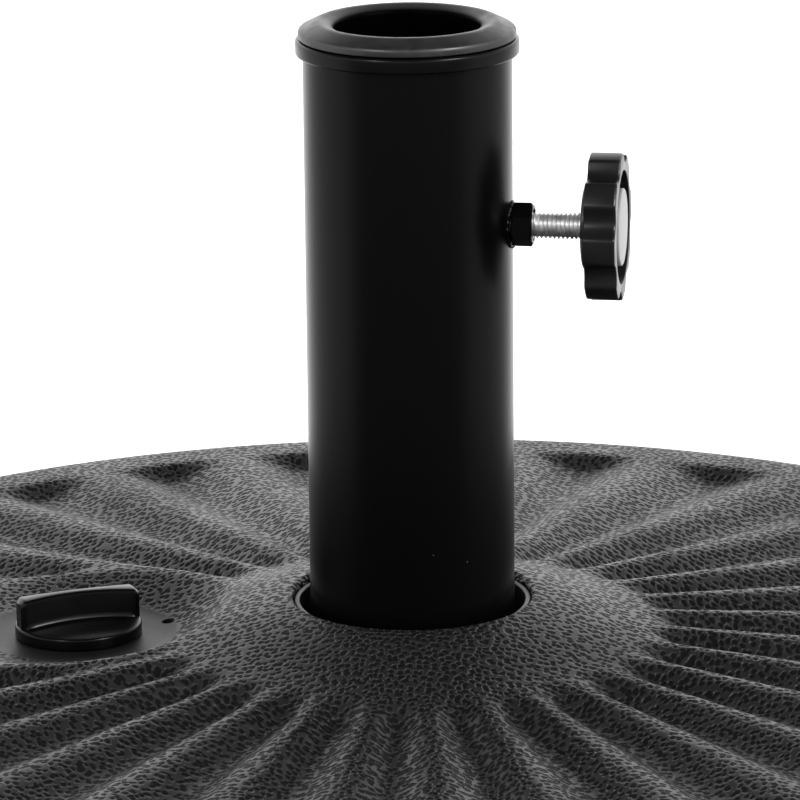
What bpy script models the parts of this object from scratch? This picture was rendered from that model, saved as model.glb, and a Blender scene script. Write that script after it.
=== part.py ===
"""Round parasol base: ribbed plastic shell with a weighted core, steel pole tube, clamp screw and fill cap.

Origin: centre of the underside, on the floor. +Z is up, and +X runs along the clamp screw.
"""

import bmesh
import bpy
import numpy as np
from mathutils import Matrix, Vector

MM = 0.001
GAP = 0.3 * MM
ROUND = 48
SMALL_ROUND = 32

# shell
SHELL_RADIUS = 254 * MM
HUB_TOP = 74 * MM
HUB_RISE = 6.9 * MM
HUB_FOOT_RADIUS = 75 * MM
DECK_EDGE_RADIUS = 245 * MM
DECK_EDGE_HEIGHT = 50.3 * MM
DECK_SLOPE = 0.08
SKIN = 3 * MM
SIDE_CORNER = 5 * MM

# radial grooves in the deck
GROOVES = 30
GROOVE_DEPTH = 4.5 * MM
GROOVE_SHARPNESS = 1.2
GROOVE_STEPS = 4
GROOVE_START = (68 * MM, 84 * MM)
GROOVE_END = (223 * MM, 232 * MM)

# central well, and the sleeve that lines it
WELL_RADIUS = 35 * MM
WELL_FLOOR = 18 * MM
WELL_FLOOR_THICKNESS = 4 * MM
SLEEVE_WALL = 1.6 * MM
SLEEVE_TOP = HUB_TOP - 1.7 * MM

# underside
FOOT_INNER_RADIUS = 216 * MM
UNDERSIDE_LIFT = 5 * MM
BOSS_RADIUS = 38 * MM
BOLT_RECESS_RADIUS = 23 * MM
UNDERSIDE_RIBS = 12
UNDERSIDE_RIB_WIDTH = 8 * MM

# fill opening and its cap
FILL_AZIMUTH = np.radians(177)
FILL_DISTANCE = 102 * MM
DISH_FLOOR = 55.5 * MM
DISH_FLOOR_RADIUS = 30 * MM
DISH_RIM_RADIUS = 46.5 * MM
DISH_BORDER = 10 * MM
NECK_BORE = 15 * MM
NECK_WALL = 2.6 * MM
NECK_LENGTH = 12 * MM
CAP_RADIUS = 18.9 * MM
CAP_EDGE_TOP = 59.3 * MM
CAP_CROWN = 60.5 * MM
CAP_RIM_WALL = 1.6 * MM
CAP_SKIRT_WALL = 2 * MM
CAP_SKIRT_LENGTH = 10 * MM
GRIP_AZIMUTH = np.radians(29)
GRIP_TOP = 68.8 * MM
GRIP_WAIST = 4.5 * MM
GRIP_END = 8 * MM
SEAL_THICKNESS = 1.2 * MM
FILL_LEVEL = 38.8 * MM

# pole tube
TUBE_RADIUS = 30 * MM
TUBE_WALL = 1.5 * MM
PLATE_THICKNESS = 4 * MM
TUBE_TOP = 238.2 * MM
COLLAR_RADIUS = 32.1 * MM
COLLAR_BOTTOM = 235.5 * MM
COLLAR_TOP = 240 * MM
REDUCER_RADIUS = 31.25 * MM
REDUCER_BORE = 21 * MM
REDUCER_CREST_RADIUS = 23.8 * MM
REDUCER_TOP = 245.3 * MM
REDUCER_SLEEVE_LENGTH = 32 * MM
REDUCER_FINS = 6

# clamp screw
CLAMP_HEIGHT = 185.9 * MM
M8_RADIUS = 4 * MM
CLAMP_HOLE_RADIUS = 4.6 * MM
CLAMP_NUT_FLATS = 11.2 * MM
CLAMP_NUT_THICKNESS = 6 * MM
KNOB_BOSS_BACK = 51 * MM
KNOB_BOSS_RADIUS = 12.3 * MM
KNOB_BACK = 52.7 * MM
KNOB_FRONT = 62.1 * MM
KNOB_RADIUS = 21.6 * MM
KNOB_LOBES = 8
KNOB_SCALLOP_DEPTH = 2.8 * MM
KNOB_SCALLOP_HALF_ANGLE = np.radians(12.5)
KNOB_TURN = np.radians(7)
KNOB_RECESS_RADIUS = 16.3 * MM
KNOB_RECESS_DEPTH = 3 * MM
KNOB_BACK_WALL = 1.5 * MM
SCREW_HEAD_FLATS = 13 * MM
SCREW_HEAD_THICKNESS = 4.5 * MM
SCREW_TIP = 22.8 * MM
KNOB_DISC_RADIUS = 11.2 * MM
KNOB_DISC_THICKNESS = 2.8 * MM
PAD_FACE = 20 * MM
PAD_RADIUS = 7 * MM

# bolt that holds the tube down
M10_RADIUS = 5 * MM
M10_HOLE_RADIUS = 5.6 * MM
M10_NUT_FLATS = 17 * MM
M10_NUT_THICKNESS = 8 * MM
M10_HEAD_THICKNESS = 6.4 * MM
M10_LENGTH = 25 * MM
WASHER_RADIUS = 15 * MM
WASHER_THICKNESS = 2.5 * MM
LOCK_WASHER_RADIUS = 8.1 * MM
LOCK_WASHER_THICKNESS = 2.2 * MM
LOCK_WASHER_SLOT = 1.6 * MM

# heights that follow from the sizes above
WELL_UNDERSIDE = WELL_FLOOR - WELL_FLOOR_THICKNESS
PLATE_BOTTOM = WELL_FLOOR + GAP
PLATE_TOP = PLATE_BOTTOM + PLATE_THICKNESS
SEAL_SEAT = DISH_FLOOR + SEAL_THICKNESS + 2 * GAP
FILL_CENTRE = Vector((FILL_DISTANCE * np.cos(FILL_AZIMUTH), FILL_DISTANCE * np.sin(FILL_AZIMUTH), 0))


def material(name, colour, roughness, metallic=0.0):
    """A Principled BSDF material."""
    made = bpy.data.materials.new(name)
    made.use_nodes = True
    shader = made.node_tree.nodes["Principled BSDF"]
    shader.inputs["Base Color"].default_value = (*colour, 1)
    shader.inputs["Roughness"].default_value = roughness
    shader.inputs["Metallic"].default_value = metallic
    return made


def new_object(name, mesh, finish=None):
    """Links the mesh into the scene, smooth except at its sharp edges."""
    made = bpy.data.objects.new(name, mesh)
    bpy.context.scene.collection.objects.link(made)
    mesh.shade_smooth()
    mesh.set_sharp_from_angle(angle=np.radians(30))
    if finish:
        mesh.materials.append(finish)
    return made


def from_bmesh(name, shape, finish=None):
    """An object from a closed bmesh, with its faces turned outward."""
    bmesh.ops.recalc_face_normals(shape, faces=shape.faces)
    mesh = bpy.data.meshes.new(name)
    shape.to_mesh(mesh)
    shape.free()
    return new_object(name, mesh, finish)


def lathe(name, outline, finish=None, segments=ROUND, lift=None):
    """Turns an outline of (radius, height) points about Z.

    The outline is a closed loop away from the axis, or it starts and ends on the axis.
    lift(radius, angle) is an extra height for the points whose outline entry has a third value, True.
    """
    shape = bmesh.new()
    rings = []
    for radius, height, *lifted in outline:
        if radius == 0:
            rings.append([shape.verts.new((0, 0, height))] * segments)
            continue
        ring = []
        for step in range(segments):
            angle = 2 * np.pi * step / segments
            extra = lift(radius, angle) if lifted else 0
            place = (radius * np.cos(angle), radius * np.sin(angle), height + extra)
            ring.append(shape.verts.new(place))
        rings.append(ring)
    is_ring = outline[0][0] > 0
    pairs = list(zip(rings, rings[1:] + rings[:1])) if is_ring else list(zip(rings, rings[1:]))
    for lower, upper in pairs:
        for step in range(segments):
            after = (step + 1) % segments
            corners = [lower[step], lower[after], upper[after], upper[step]]
            shape.faces.new(list(dict.fromkeys(corners)))
    return from_bmesh(name, shape, finish)


def prism(name, outline, bottom, top, finish=None):
    """A straight-sided solid over an outline of (x, y) points."""
    shape = bmesh.new()
    face = shape.faces.new([shape.verts.new((x, y, bottom)) for x, y in outline])
    raised = bmesh.ops.extrude_face_region(shape, geom=[face])["geom"]
    corners = [item for item in raised if isinstance(item, bmesh.types.BMVert)]
    bmesh.ops.translate(shape, vec=(0, 0, top - bottom), verts=corners)
    return from_bmesh(name, shape, finish)


def polygon(corner_radius, sides, phase=0.0):
    """Corners of a regular polygon."""
    angles = [phase + 2 * np.pi * side / sides for side in range(sides)]
    return [(corner_radius * np.cos(angle), corner_radius * np.sin(angle)) for angle in angles]


def hexagon(across_flats, phase=0.0):
    """Corners of a hexagon from its width across flats."""
    return polygon(across_flats / np.sqrt(3), 6, phase)


def cylinder(name, radius, bottom, top, finish=None, segments=SMALL_ROUND):
    """A plain round bar about Z."""
    return prism(name, polygon(radius, segments), bottom, top, finish)


def combine(target, tool, operation="DIFFERENCE"):
    """Adds a Boolean with a hidden tool, which follows the target."""
    tool.hide_render = True
    tool.display_type = "WIRE"
    step = target.modifiers.new(tool.name, "BOOLEAN")
    step.operation = operation
    step.object = tool
    return target


def place(target, location=(0, 0, 0), along_x=False, turn=0.0):
    """Puts an object and its tools at a location; along_x points its own Z axis along the clamp screw."""
    facing = Matrix.Rotation(np.pi / 2, 4, "Y") if along_x else Matrix.Identity(4)
    where = Matrix.Translation(location) @ facing @ Matrix.Rotation(turn, 4, "Z")
    target.matrix_world = where
    for step in target.modifiers:
        if step.type == "BOOLEAN":
            step.object.matrix_world = where @ step.object.matrix_world
    return target


def smoothstep(low, high, value):
    share = np.clip((value - low) / (high - low), 0, 1)
    return share * share * (3 - 2 * share)


def deck_height(radius):
    """Height of the deck's crests: a gentle cone that rises to the hub."""
    cone = DECK_EDGE_HEIGHT + DECK_SLOPE * (DECK_EDGE_RADIUS - radius)
    share = np.clip((radius - WELL_RADIUS) / (HUB_FOOT_RADIUS - WELL_RADIUS), 0, 1)
    return cone + HUB_RISE * (1 + np.cos(np.pi * share)) / 2


def groove_lift(radius, angle):
    """How far a groove lowers the deck: broad valleys that fade out round the dish."""
    across = ((1 + np.cos(GROOVES * angle)) / 2) ** GROOVE_SHARPNESS
    along = smoothstep(*GROOVE_START, radius) * (1 - smoothstep(*GROOVE_END, radius))
    beside = np.hypot(radius * np.cos(angle) - FILL_CENTRE.x, radius * np.sin(angle) - FILL_CENTRE.y)
    along *= smoothstep(DISH_RIM_RADIUS, DISH_RIM_RADIUS + DISH_BORDER, beside)
    return -GROOVE_DEPTH * across * along


def corner(centre_radius, centre_height, size, start, end, steps=3):
    """Points of a round corner in an outline; angles in degrees from outward, towards up."""
    angles = np.radians(np.linspace(start, end, steps + 1))
    return [(centre_radius + size * np.cos(a), centre_height + size * np.sin(a)) for a in angles]


def underside_cutter():
    """The space under the shell between the boss and the foot ring, with radial ribs left in it."""
    width = FOOT_INNER_RADIUS - BOSS_RADIUS
    outline = [
        (BOSS_RADIUS, -MM),
        (FOOT_INNER_RADIUS, -MM),
        (FOOT_INNER_RADIUS - 2 * MM, UNDERSIDE_LIFT),
        (BOSS_RADIUS + 2 * MM, UNDERSIDE_LIFT),
    ]
    space = lathe("underside_space", outline, segments=ROUND)
    for rib in range(UNDERSIDE_RIBS):
        half = UNDERSIDE_RIB_WIDTH / 2
        block = [(0, -half), (width + 4 * MM, -half), (width + 4 * MM, half), (0, half)]
        bar = prism(f"underside_rib_{rib}", block, MM, UNDERSIDE_LIFT + MM)
        turn = Matrix.Rotation(2 * np.pi * (rib + 0.5) / UNDERSIDE_RIBS, 4, "Z")
        bar.matrix_world = turn @ Matrix.Translation((BOSS_RADIUS - 2 * MM, 0, 0))
        combine(space, bar)
    return space


def dish(name, grow, neck_radius, neck_end):
    """The round recess about the fill cap with the neck under it, or both grown by the skin's thickness."""
    floor = DISH_FLOOR - grow
    reach = DISH_FLOOR_RADIUS + grow
    rim = DISH_RIM_RADIUS + grow
    outline = [
        (0, neck_end),
        (neck_radius, neck_end),
        (neck_radius, floor),
        (reach - 3 * MM, floor),
        (reach, floor + 1.2 * MM),
        (rim + 2 * MM, MM - grow, True),
        (rim + 2 * MM, HUB_TOP + MM),
        (0, HUB_TOP + MM),
    ]
    return place(lathe(name, outline, segments=48, lift=deck_beside_cap), FILL_CENTRE)


def deck_beside_cap(radius, angle):
    """Deck height at a distance and direction from the fill cap's centre."""
    across = FILL_CENTRE.x + radius * np.cos(angle)
    along = FILL_CENTRE.y + radius * np.sin(angle)
    return deck_height(np.hypot(across, along))


def central_space():
    """The well, the hole in its floor and the recess under it for the bolt's head."""
    outline = [
        (0, -MM),
        (BOLT_RECESS_RADIUS, -MM),
        (BOLT_RECESS_RADIUS, WELL_UNDERSIDE),
        (M10_HOLE_RADIUS, WELL_UNDERSIDE),
        (M10_HOLE_RADIUS, WELL_FLOOR),
        (WELL_RADIUS, WELL_FLOOR),
        (WELL_RADIUS, HUB_TOP + MM),
        (0, HUB_TOP + MM),
    ]
    return lathe("central_space", outline)


def cavity_outline(grow, top=None):
    """Outline of the hollow inside the shell; grow moves each wall outward."""
    inner = WELL_RADIUS + SKIN - grow
    outer = SHELL_RADIUS - SKIN + grow
    floor = UNDERSIDE_LIFT + SKIN - grow
    ceiling = SKIN + GROOVE_DEPTH - grow
    lower = corner(outer - 6 * MM, floor + 6 * MM, 6 * MM, -90, 0, 2)
    if top is not None:
        return [(inner, floor), *lower, (outer, top), (inner, top)]
    radii = np.array([244, 160, 84]) * MM
    roof = [(r, deck_height(r) - ceiling) for r in radii]
    hub = [(r, deck_height(r) - SKIN - grow) for r in (68 * MM, 52 * MM, inner)]
    return [(inner, floor), *lower, (outer, deck_height(outer) - ceiling - 3 * MM), *roof, *hub]


def build_base_shell(finish):
    """Blow-moulded skin with the well, the fill neck and the foot ring."""
    edge = DECK_EDGE_HEIGHT
    top_radii = np.array([205, 165, 125, 98]) * MM
    inner_radii = np.array([60, 51, 43]) * MM
    outline = [(0, 0), (SHELL_RADIUS - 5 * MM, 0)]
    outline += corner(SHELL_RADIUS - 4 * MM, 4 * MM, 4 * MM, -70, 0, 2)
    outline += corner(SHELL_RADIUS - SIDE_CORNER, edge - 5.6 * MM, SIDE_CORNER, 0, 78, 3)
    outline += [(DECK_EDGE_RADIUS, edge)]
    outline += [(radius, deck_height(radius), True) for radius in GROOVE_END[::-1]]
    outline += [(radius, deck_height(radius), True) for radius in top_radii]
    outline += [(radius, deck_height(radius), True) for radius in (GROOVE_START[1], 76 * MM, GROOVE_START[0])]
    outline += [(radius, deck_height(radius)) for radius in inner_radii]
    outline += [(36.2 * MM, HUB_TOP), (34 * MM, HUB_TOP - 1.2 * MM), (0, HUB_TOP - 1.2 * MM)]
    shell = lathe("base_shell", outline, finish, GROOVES * GROOVE_STEPS, groove_lift)
    neck_end = DISH_FLOOR - SKIN - NECK_LENGTH
    hollow = lathe("hollow", cavity_outline(0))
    combine(hollow, dish("dish_wall", SKIN, NECK_BORE + NECK_WALL, neck_end))
    dish_space = dish("dish_space", 0, NECK_BORE, neck_end - MM)
    for tool in (central_space(), underside_cutter(), hollow, dish_space):
        combine(shell, tool)
    return shell


def build_ballast_fill(finish):
    """The weight inside the shell, poured in through the fill neck."""
    return lathe("ballast_fill", cavity_outline(-GAP, FILL_LEVEL), finish)


def build_socket_sleeve(finish):
    """Smooth liner of the well."""
    outer = WELL_RADIUS - GAP
    inner = outer - SLEEVE_WALL
    outline = [
        (outer, PLATE_BOTTOM),
        (outer, SLEEVE_TOP - 0.6 * MM),
        (outer - 0.5 * MM, SLEEVE_TOP),
        (inner + 0.5 * MM, SLEEVE_TOP),
        (inner, SLEEVE_TOP - 0.6 * MM),
        (inner, PLATE_BOTTOM),
    ]
    return lathe("socket_sleeve", outline, finish)


def grip_outline():
    """Top view of the cap's grip bar: bowed sides that narrow to a waist in the middle."""
    reach = CAP_RADIUS - 0.6 * MM
    along = np.linspace(-reach, reach, 9)
    half = (GRIP_WAIST + (GRIP_END - GRIP_WAIST) * (along / reach) ** 2) / 2
    near = list(zip(along, -half))
    far = list(zip(along[::-1], half[::-1]))
    return near + far


def build_fill_cap(finish):
    """Screw cap: crowned flange whose rim hides the seal, hollow skirt and grip bar."""
    skirt = NECK_BORE - 2 * GAP
    under = SEAL_SEAT - CAP_SKIRT_LENGTH
    ceiling = CAP_CROWN - 2.2 * MM
    rim_inner = CAP_RADIUS - CAP_RIM_WALL
    rim_bottom = DISH_FLOOR + GAP
    outline = [
        (0, ceiling),
        (skirt - CAP_SKIRT_WALL, ceiling),
        (skirt - CAP_SKIRT_WALL, under),
        (skirt, under),
        (skirt, SEAL_SEAT),
        (rim_inner, SEAL_SEAT),
        (rim_inner, rim_bottom),
        (CAP_RADIUS, rim_bottom),
        (CAP_RADIUS, CAP_EDGE_TOP - 0.9 * MM),
        (CAP_RADIUS - 0.9 * MM, CAP_EDGE_TOP),
        (CAP_RADIUS / 2, CAP_CROWN - 0.3 * MM),
        (0, CAP_CROWN),
    ]
    cap = lathe("fill_cap", outline, finish, 48)
    grip = prism("grip_bar", grip_outline(), CAP_EDGE_TOP - MM, GRIP_TOP)
    edge = grip.modifiers.new("Bevel", "BEVEL")
    edge.width = 0.8 * MM
    edge.angle_limit = np.radians(60)
    combine(cap, grip, "UNION")
    return place(cap, FILL_CENTRE, turn=GRIP_AZIMUTH)


def build_cap_seal(finish):
    """Flat rubber ring between the cap's flange and the dish floor."""
    bottom = DISH_FLOOR + GAP
    top = bottom + SEAL_THICKNESS
    inner = NECK_BORE + GAP
    outer = CAP_RADIUS - CAP_RIM_WALL - GAP
    outline = [(inner, bottom), (outer, bottom), (outer, top), (inner, top)]
    return place(lathe("cap_seal", outline, finish, 48), FILL_CENTRE)


def build_pole_tube(finish):
    """Steel tube with the clamp screw's hole through its wall."""
    inner = TUBE_RADIUS - TUBE_WALL
    bottom = PLATE_TOP + GAP
    outline = [(inner, bottom), (TUBE_RADIUS, bottom), (TUBE_RADIUS, TUBE_TOP), (inner, TUBE_TOP)]
    tube = lathe("pole_tube", outline, finish)
    drill = cylinder("clamp_hole", CLAMP_HOLE_RADIUS, inner - 5 * MM, TUBE_RADIUS + 5 * MM, segments=24)
    return combine(tube, place(drill, (0, 0, CLAMP_HEIGHT), along_x=True))


def build_tube_end_plate(finish):
    """Steel disc under the tube."""
    radius = WELL_RADIUS - 2 * GAP - SLEEVE_WALL
    hole = M10_HOLE_RADIUS
    outline = [(hole, PLATE_BOTTOM), (radius, PLATE_BOTTOM), (radius, PLATE_TOP), (hole, PLATE_TOP)]
    return lathe("tube_end_plate", outline, finish, 48)


def build_end_plate_nut(finish):
    """Hex nut on the end plate."""
    bottom = PLATE_TOP + GAP
    nut = prism("end_plate_nut", hexagon(M10_NUT_FLATS), bottom, bottom + M10_NUT_THICKNESS, finish)
    bore = cylinder("end_plate_nut_bore", M10_RADIUS + GAP, PLATE_BOTTOM, bottom + 2 * M10_NUT_THICKNESS)
    return combine(nut, bore)


def build_centre_fasteners(finish):
    """Bolt, plain washer and split washer that hold the tube from below."""
    washer_top = WELL_UNDERSIDE - GAP
    washer_bottom = washer_top - WASHER_THICKNESS
    lock_top = washer_bottom - GAP
    lock_bottom = lock_top - LOCK_WASHER_THICKNESS
    head_top = lock_bottom - GAP
    hole = M10_RADIUS + GAP
    washer = [
        (hole, washer_bottom),
        (WASHER_RADIUS, washer_bottom),
        (WASHER_RADIUS, washer_top),
        (hole, washer_top),
    ]
    lathe("centre_washer", washer, finish, 48)
    lock = [
        (hole, lock_bottom),
        (LOCK_WASHER_RADIUS, lock_bottom),
        (LOCK_WASHER_RADIUS, lock_top),
        (hole, lock_top),
    ]
    half = LOCK_WASHER_SLOT / 2
    reach = 2 * LOCK_WASHER_RADIUS
    slot_outline = [(0, -half), (reach, -half), (reach, half), (0, half)]
    slot = prism("lock_washer_slot", slot_outline, lock_bottom - MM, lock_top + MM)
    combine(lathe("centre_lock_washer", lock, finish, SMALL_ROUND), slot)
    head = prism("centre_bolt", hexagon(M10_NUT_FLATS), head_top - M10_HEAD_THICKNESS, head_top, finish)
    shank = cylinder("centre_bolt_shank", M10_RADIUS, head_top - MM, head_top + M10_LENGTH)
    combine(head, shank, "UNION")


def build_tube_collar(finish):
    """Ring pressed over the tube's top edge."""
    bore = TUBE_RADIUS + GAP
    lip_bottom = TUBE_TOP + GAP
    lip_bore = TUBE_RADIUS - TUBE_WALL + GAP
    outline = [
        (bore, COLLAR_BOTTOM),
        (COLLAR_RADIUS - 0.6 * MM, COLLAR_BOTTOM),
        (COLLAR_RADIUS, COLLAR_BOTTOM + 0.7 * MM),
        (COLLAR_RADIUS, COLLAR_TOP - 0.8 * MM),
        (COLLAR_RADIUS - 0.9 * MM, COLLAR_TOP),
        (lip_bore, COLLAR_TOP),
        (lip_bore, lip_bottom),
        (bore, lip_bottom),
    ]
    return lathe("tube_collar", outline, finish)


def build_reducer_ring(finish):
    """Reducer: a domed flange, a plug that fits the tube, and a finned sleeve that guides the pole."""
    plug = TUBE_RADIUS - TUBE_WALL - GAP
    bottom = COLLAR_TOP + GAP
    plug_bottom = TUBE_TOP - 4 * MM
    sleeve_bottom = TUBE_TOP - REDUCER_SLEEVE_LENGTH
    sleeve = REDUCER_BORE + 2.2 * MM
    outline = [
        (REDUCER_RADIUS, bottom),
        (REDUCER_RADIUS, bottom + 1.8 * MM),
        (REDUCER_RADIUS - 0.7 * MM, bottom + 2.5 * MM),
        (REDUCER_CREST_RADIUS + 0.8 * MM, REDUCER_TOP - 0.2 * MM),
        (REDUCER_CREST_RADIUS, REDUCER_TOP),
        (REDUCER_BORE + 1.6 * MM, REDUCER_TOP - 0.4 * MM),
        (REDUCER_BORE, REDUCER_TOP - 3.4 * MM),
        (REDUCER_BORE, sleeve_bottom),
        (sleeve, sleeve_bottom),
        (sleeve, plug_bottom),
        (plug, plug_bottom),
        (plug, bottom),
    ]
    ring = lathe("reducer_ring", outline, finish)
    for fin in range(REDUCER_FINS):
        root = REDUCER_BORE + MM
        block = [(root, -MM), (plug - 0.2 * MM, -MM), (plug - 0.2 * MM, MM), (root, MM)]
        blade = prism(f"reducer_fin_{fin}", block, sleeve_bottom, plug_bottom + MM)
        blade.matrix_world = Matrix.Rotation(2 * np.pi * (fin + 0.5) / REDUCER_FINS, 4, "Z")
        combine(ring, blade, "UNION")
    return ring


def build_clamp_nut(finish):
    """Hex nut on the outside of the tube."""
    start = TUBE_RADIUS + GAP
    end = start + CLAMP_NUT_THICKNESS
    nut = prism("clamp_nut", hexagon(CLAMP_NUT_FLATS), start, end, finish)
    combine(nut, cylinder("clamp_nut_bore", M8_RADIUS + GAP, start - MM, end + MM))
    return place(nut, (0, 0, CLAMP_HEIGHT), along_x=True)


def build_clamp_bolt(finish):
    """M8 screw with a hex head inside the knob."""
    head_bottom = KNOB_BOSS_BACK + KNOB_BACK_WALL + GAP
    head_top = head_bottom + SCREW_HEAD_THICKNESS
    head = prism("clamp_bolt", hexagon(SCREW_HEAD_FLATS), head_bottom, head_top, finish)
    tip = [
        (0, SCREW_TIP),
        (M8_RADIUS - 0.9 * MM, SCREW_TIP),
        (M8_RADIUS, SCREW_TIP + 0.9 * MM),
        (M8_RADIUS, head_bottom + MM),
        (0, head_bottom + MM),
    ]
    combine(head, lathe("clamp_bolt_shank", tip, segments=SMALL_ROUND), "UNION")
    return place(head, (0, 0, CLAMP_HEIGHT), along_x=True, turn=KNOB_TURN)


def build_clamp_pad(finish):
    """Tip that turns freely on the screw's end and presses on the pole."""
    bore = M8_RADIUS + GAP
    bore_end = SCREW_TIP - GAP
    neck_end = PAD_FACE + 5 * MM
    outline = [
        (0, PAD_FACE),
        (PAD_RADIUS - 0.8 * MM, PAD_FACE),
        (PAD_RADIUS, PAD_FACE + 0.8 * MM),
        (PAD_RADIUS, PAD_FACE + 2.4 * MM),
        (PAD_RADIUS - 1 * MM, PAD_FACE + 3 * MM),
        (PAD_RADIUS - 1 * MM, neck_end),
        (bore, neck_end),
        (bore, bore_end),
        (0, bore_end),
    ]
    pad = lathe("clamp_pad", outline, finish, SMALL_ROUND)
    return place(pad, (0, 0, CLAMP_HEIGHT), along_x=True)


def polar(angles, radii):
    """Points at each angle and radius."""
    return list(zip(radii * np.cos(angles), radii * np.sin(angles)))


def knob_outline():
    """Round outline with a scallop between each two lobes."""
    pitch = 2 * np.pi / KNOB_LOBES
    across = np.linspace(-1, 1, 9)
    lobe_half = pitch / 2 - KNOB_SCALLOP_HALF_ANGLE
    outline = []
    for lobe in range(KNOB_LOBES):
        angles = lobe * pitch + lobe_half * np.array([-0.35, 0.35])
        outline += polar(angles, np.full(2, KNOB_RADIUS))
        angles = (lobe + 0.5) * pitch + KNOB_SCALLOP_HALF_ANGLE * across
        outline += polar(angles, KNOB_RADIUS - KNOB_SCALLOP_DEPTH * (1 - across ** 2))
    return outline


def build_knob_body(finish):
    """Lobed knob with a round boss behind, a hex pocket for the screw's head and a recess in front."""
    front = KNOB_FRONT
    recess_floor = front - KNOB_RECESS_DEPTH
    pocket_floor = KNOB_BOSS_BACK + KNOB_BACK_WALL
    knob = prism("knob_body", knob_outline(), KNOB_BACK, front, finish)
    edge = knob.modifiers.new("Bevel", "BEVEL")
    edge.width = 0.6 * MM
    edge.angle_limit = np.radians(60)
    boss = cylinder("knob_boss", KNOB_BOSS_RADIUS, KNOB_BOSS_BACK, KNOB_BACK + 2 * MM, segments=48)
    combine(knob, boss, "UNION")
    pocket = hexagon(SCREW_HEAD_FLATS + 2 * GAP)
    combine(knob, cylinder("knob_recess", KNOB_RECESS_RADIUS, recess_floor, front + MM, segments=48))
    combine(knob, prism("knob_pocket", pocket, pocket_floor, front))
    combine(knob, cylinder("knob_bore", M8_RADIUS + GAP, KNOB_BOSS_BACK - MM, front))
    return place(knob, (0, 0, CLAMP_HEIGHT), along_x=True, turn=KNOB_TURN)


def build_knob_cap(finish):
    """Disc that covers the screw's head."""
    bottom = KNOB_FRONT - KNOB_RECESS_DEPTH + GAP
    top = bottom + KNOB_DISC_THICKNESS
    outline = [
        (0, bottom),
        (KNOB_DISC_RADIUS, bottom),
        (KNOB_DISC_RADIUS, top - 0.5 * MM),
        (KNOB_DISC_RADIUS - 0.5 * MM, top),
        (0, top),
    ]
    return place(lathe("knob_cap", outline, finish, 48), (0, 0, CLAMP_HEIGHT), along_x=True)


def main():
    for leftover in list(bpy.data.objects):
        bpy.data.objects.remove(leftover)
    shell_plastic = material("shell_plastic", (0.02, 0.02, 0.021), 0.5)
    black_plastic = material("black_plastic", (0.012, 0.012, 0.012), 0.35)
    grey_plastic = material("grey_plastic", (0.5, 0.5, 0.5), 0.4)
    ballast = material("ballast", (0.32, 0.3, 0.27), 0.9)
    black_rubber = material("black_rubber", (0.015, 0.015, 0.015), 0.85)
    black_steel = material("black_steel", (0.008, 0.008, 0.009), 0.35, 0.3)
    zinc_steel = material("zinc_steel", (0.62, 0.63, 0.65), 0.3, 0.9)
    build_base_shell(shell_plastic)
    build_ballast_fill(ballast)
    build_socket_sleeve(black_plastic)
    build_fill_cap(black_plastic)
    build_cap_seal(black_rubber)
    build_pole_tube(black_steel)
    build_tube_end_plate(black_steel)
    build_end_plate_nut(black_steel)
    build_centre_fasteners(zinc_steel)
    build_tube_collar(black_plastic)
    build_reducer_ring(black_plastic)
    build_clamp_nut(black_steel)
    build_clamp_bolt(zinc_steel)
    build_clamp_pad(black_plastic)
    build_knob_body(black_plastic)
    build_knob_cap(grey_plastic)


main()
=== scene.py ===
"""Looks of the parasol base: grained shell, painted tube, moulded collar, knob and cap, zinc screws."""

import bmesh
import bpy
import numpy as np
from mathutils import Matrix, Vector


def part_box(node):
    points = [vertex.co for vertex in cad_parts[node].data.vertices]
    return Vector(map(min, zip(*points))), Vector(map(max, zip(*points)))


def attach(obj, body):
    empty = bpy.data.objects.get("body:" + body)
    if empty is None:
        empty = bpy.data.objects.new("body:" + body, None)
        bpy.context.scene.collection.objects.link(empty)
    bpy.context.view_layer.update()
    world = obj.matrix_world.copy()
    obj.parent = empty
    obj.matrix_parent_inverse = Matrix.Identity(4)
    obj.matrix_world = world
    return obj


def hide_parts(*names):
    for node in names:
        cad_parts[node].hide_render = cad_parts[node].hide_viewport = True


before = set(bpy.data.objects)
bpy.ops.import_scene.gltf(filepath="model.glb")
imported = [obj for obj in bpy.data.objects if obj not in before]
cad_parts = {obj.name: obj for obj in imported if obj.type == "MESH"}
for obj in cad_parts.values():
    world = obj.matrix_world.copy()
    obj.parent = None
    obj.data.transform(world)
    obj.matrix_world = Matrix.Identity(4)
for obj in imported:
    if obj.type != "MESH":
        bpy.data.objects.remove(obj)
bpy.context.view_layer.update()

MM = 0.001
GAP = 0.3 * MM
FULL_TURN = 2 * np.pi
SHARP_ANGLE = 38

# shell
SHELL_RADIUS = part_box("base_shell")[1].x
HUB_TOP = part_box("base_shell")[1].z
HUB_RISE = 6.9 * MM
HUB_FOOT_RADIUS = 75 * MM
DECK_EDGE_RADIUS = SHELL_RADIUS - 9 * MM
DECK_EDGE_HEIGHT = 50.3 * MM
DECK_SLOPE = 0.08
SKIN = 3 * MM
WELL_RADIUS = 35 * MM
WELL_FLOOR = 18 * MM
WELL_UNDERSIDE = 14 * MM
BOLT_HOLE_RADIUS = 5.6 * MM
BOLT_RECESS_RADIUS = 23 * MM
BOSS_RADIUS = 38 * MM
FOOT_INNER_RADIUS = 216 * MM
FOOT_ROUND = 4 * MM
EDGE_ROUND = 5 * MM
EDGE_ROUND_DEPTH = 5.6 * MM
UNDERSIDE_LIFT = 5 * MM
UNDERSIDE_RIBS = 12
UNDERSIDE_RIB_WIDTH = 8 * MM

# grooves that run out across the deck
GROOVES = 30
GROOVE_DEPTH = 4.5 * MM
GROOVE_SHARPNESS = 1.2
GROOVE_START = (68 * MM, 84 * MM)
GROOVE_END = (223 * MM, 232 * MM)
STEPS_PER_GROOVE = 16

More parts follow.
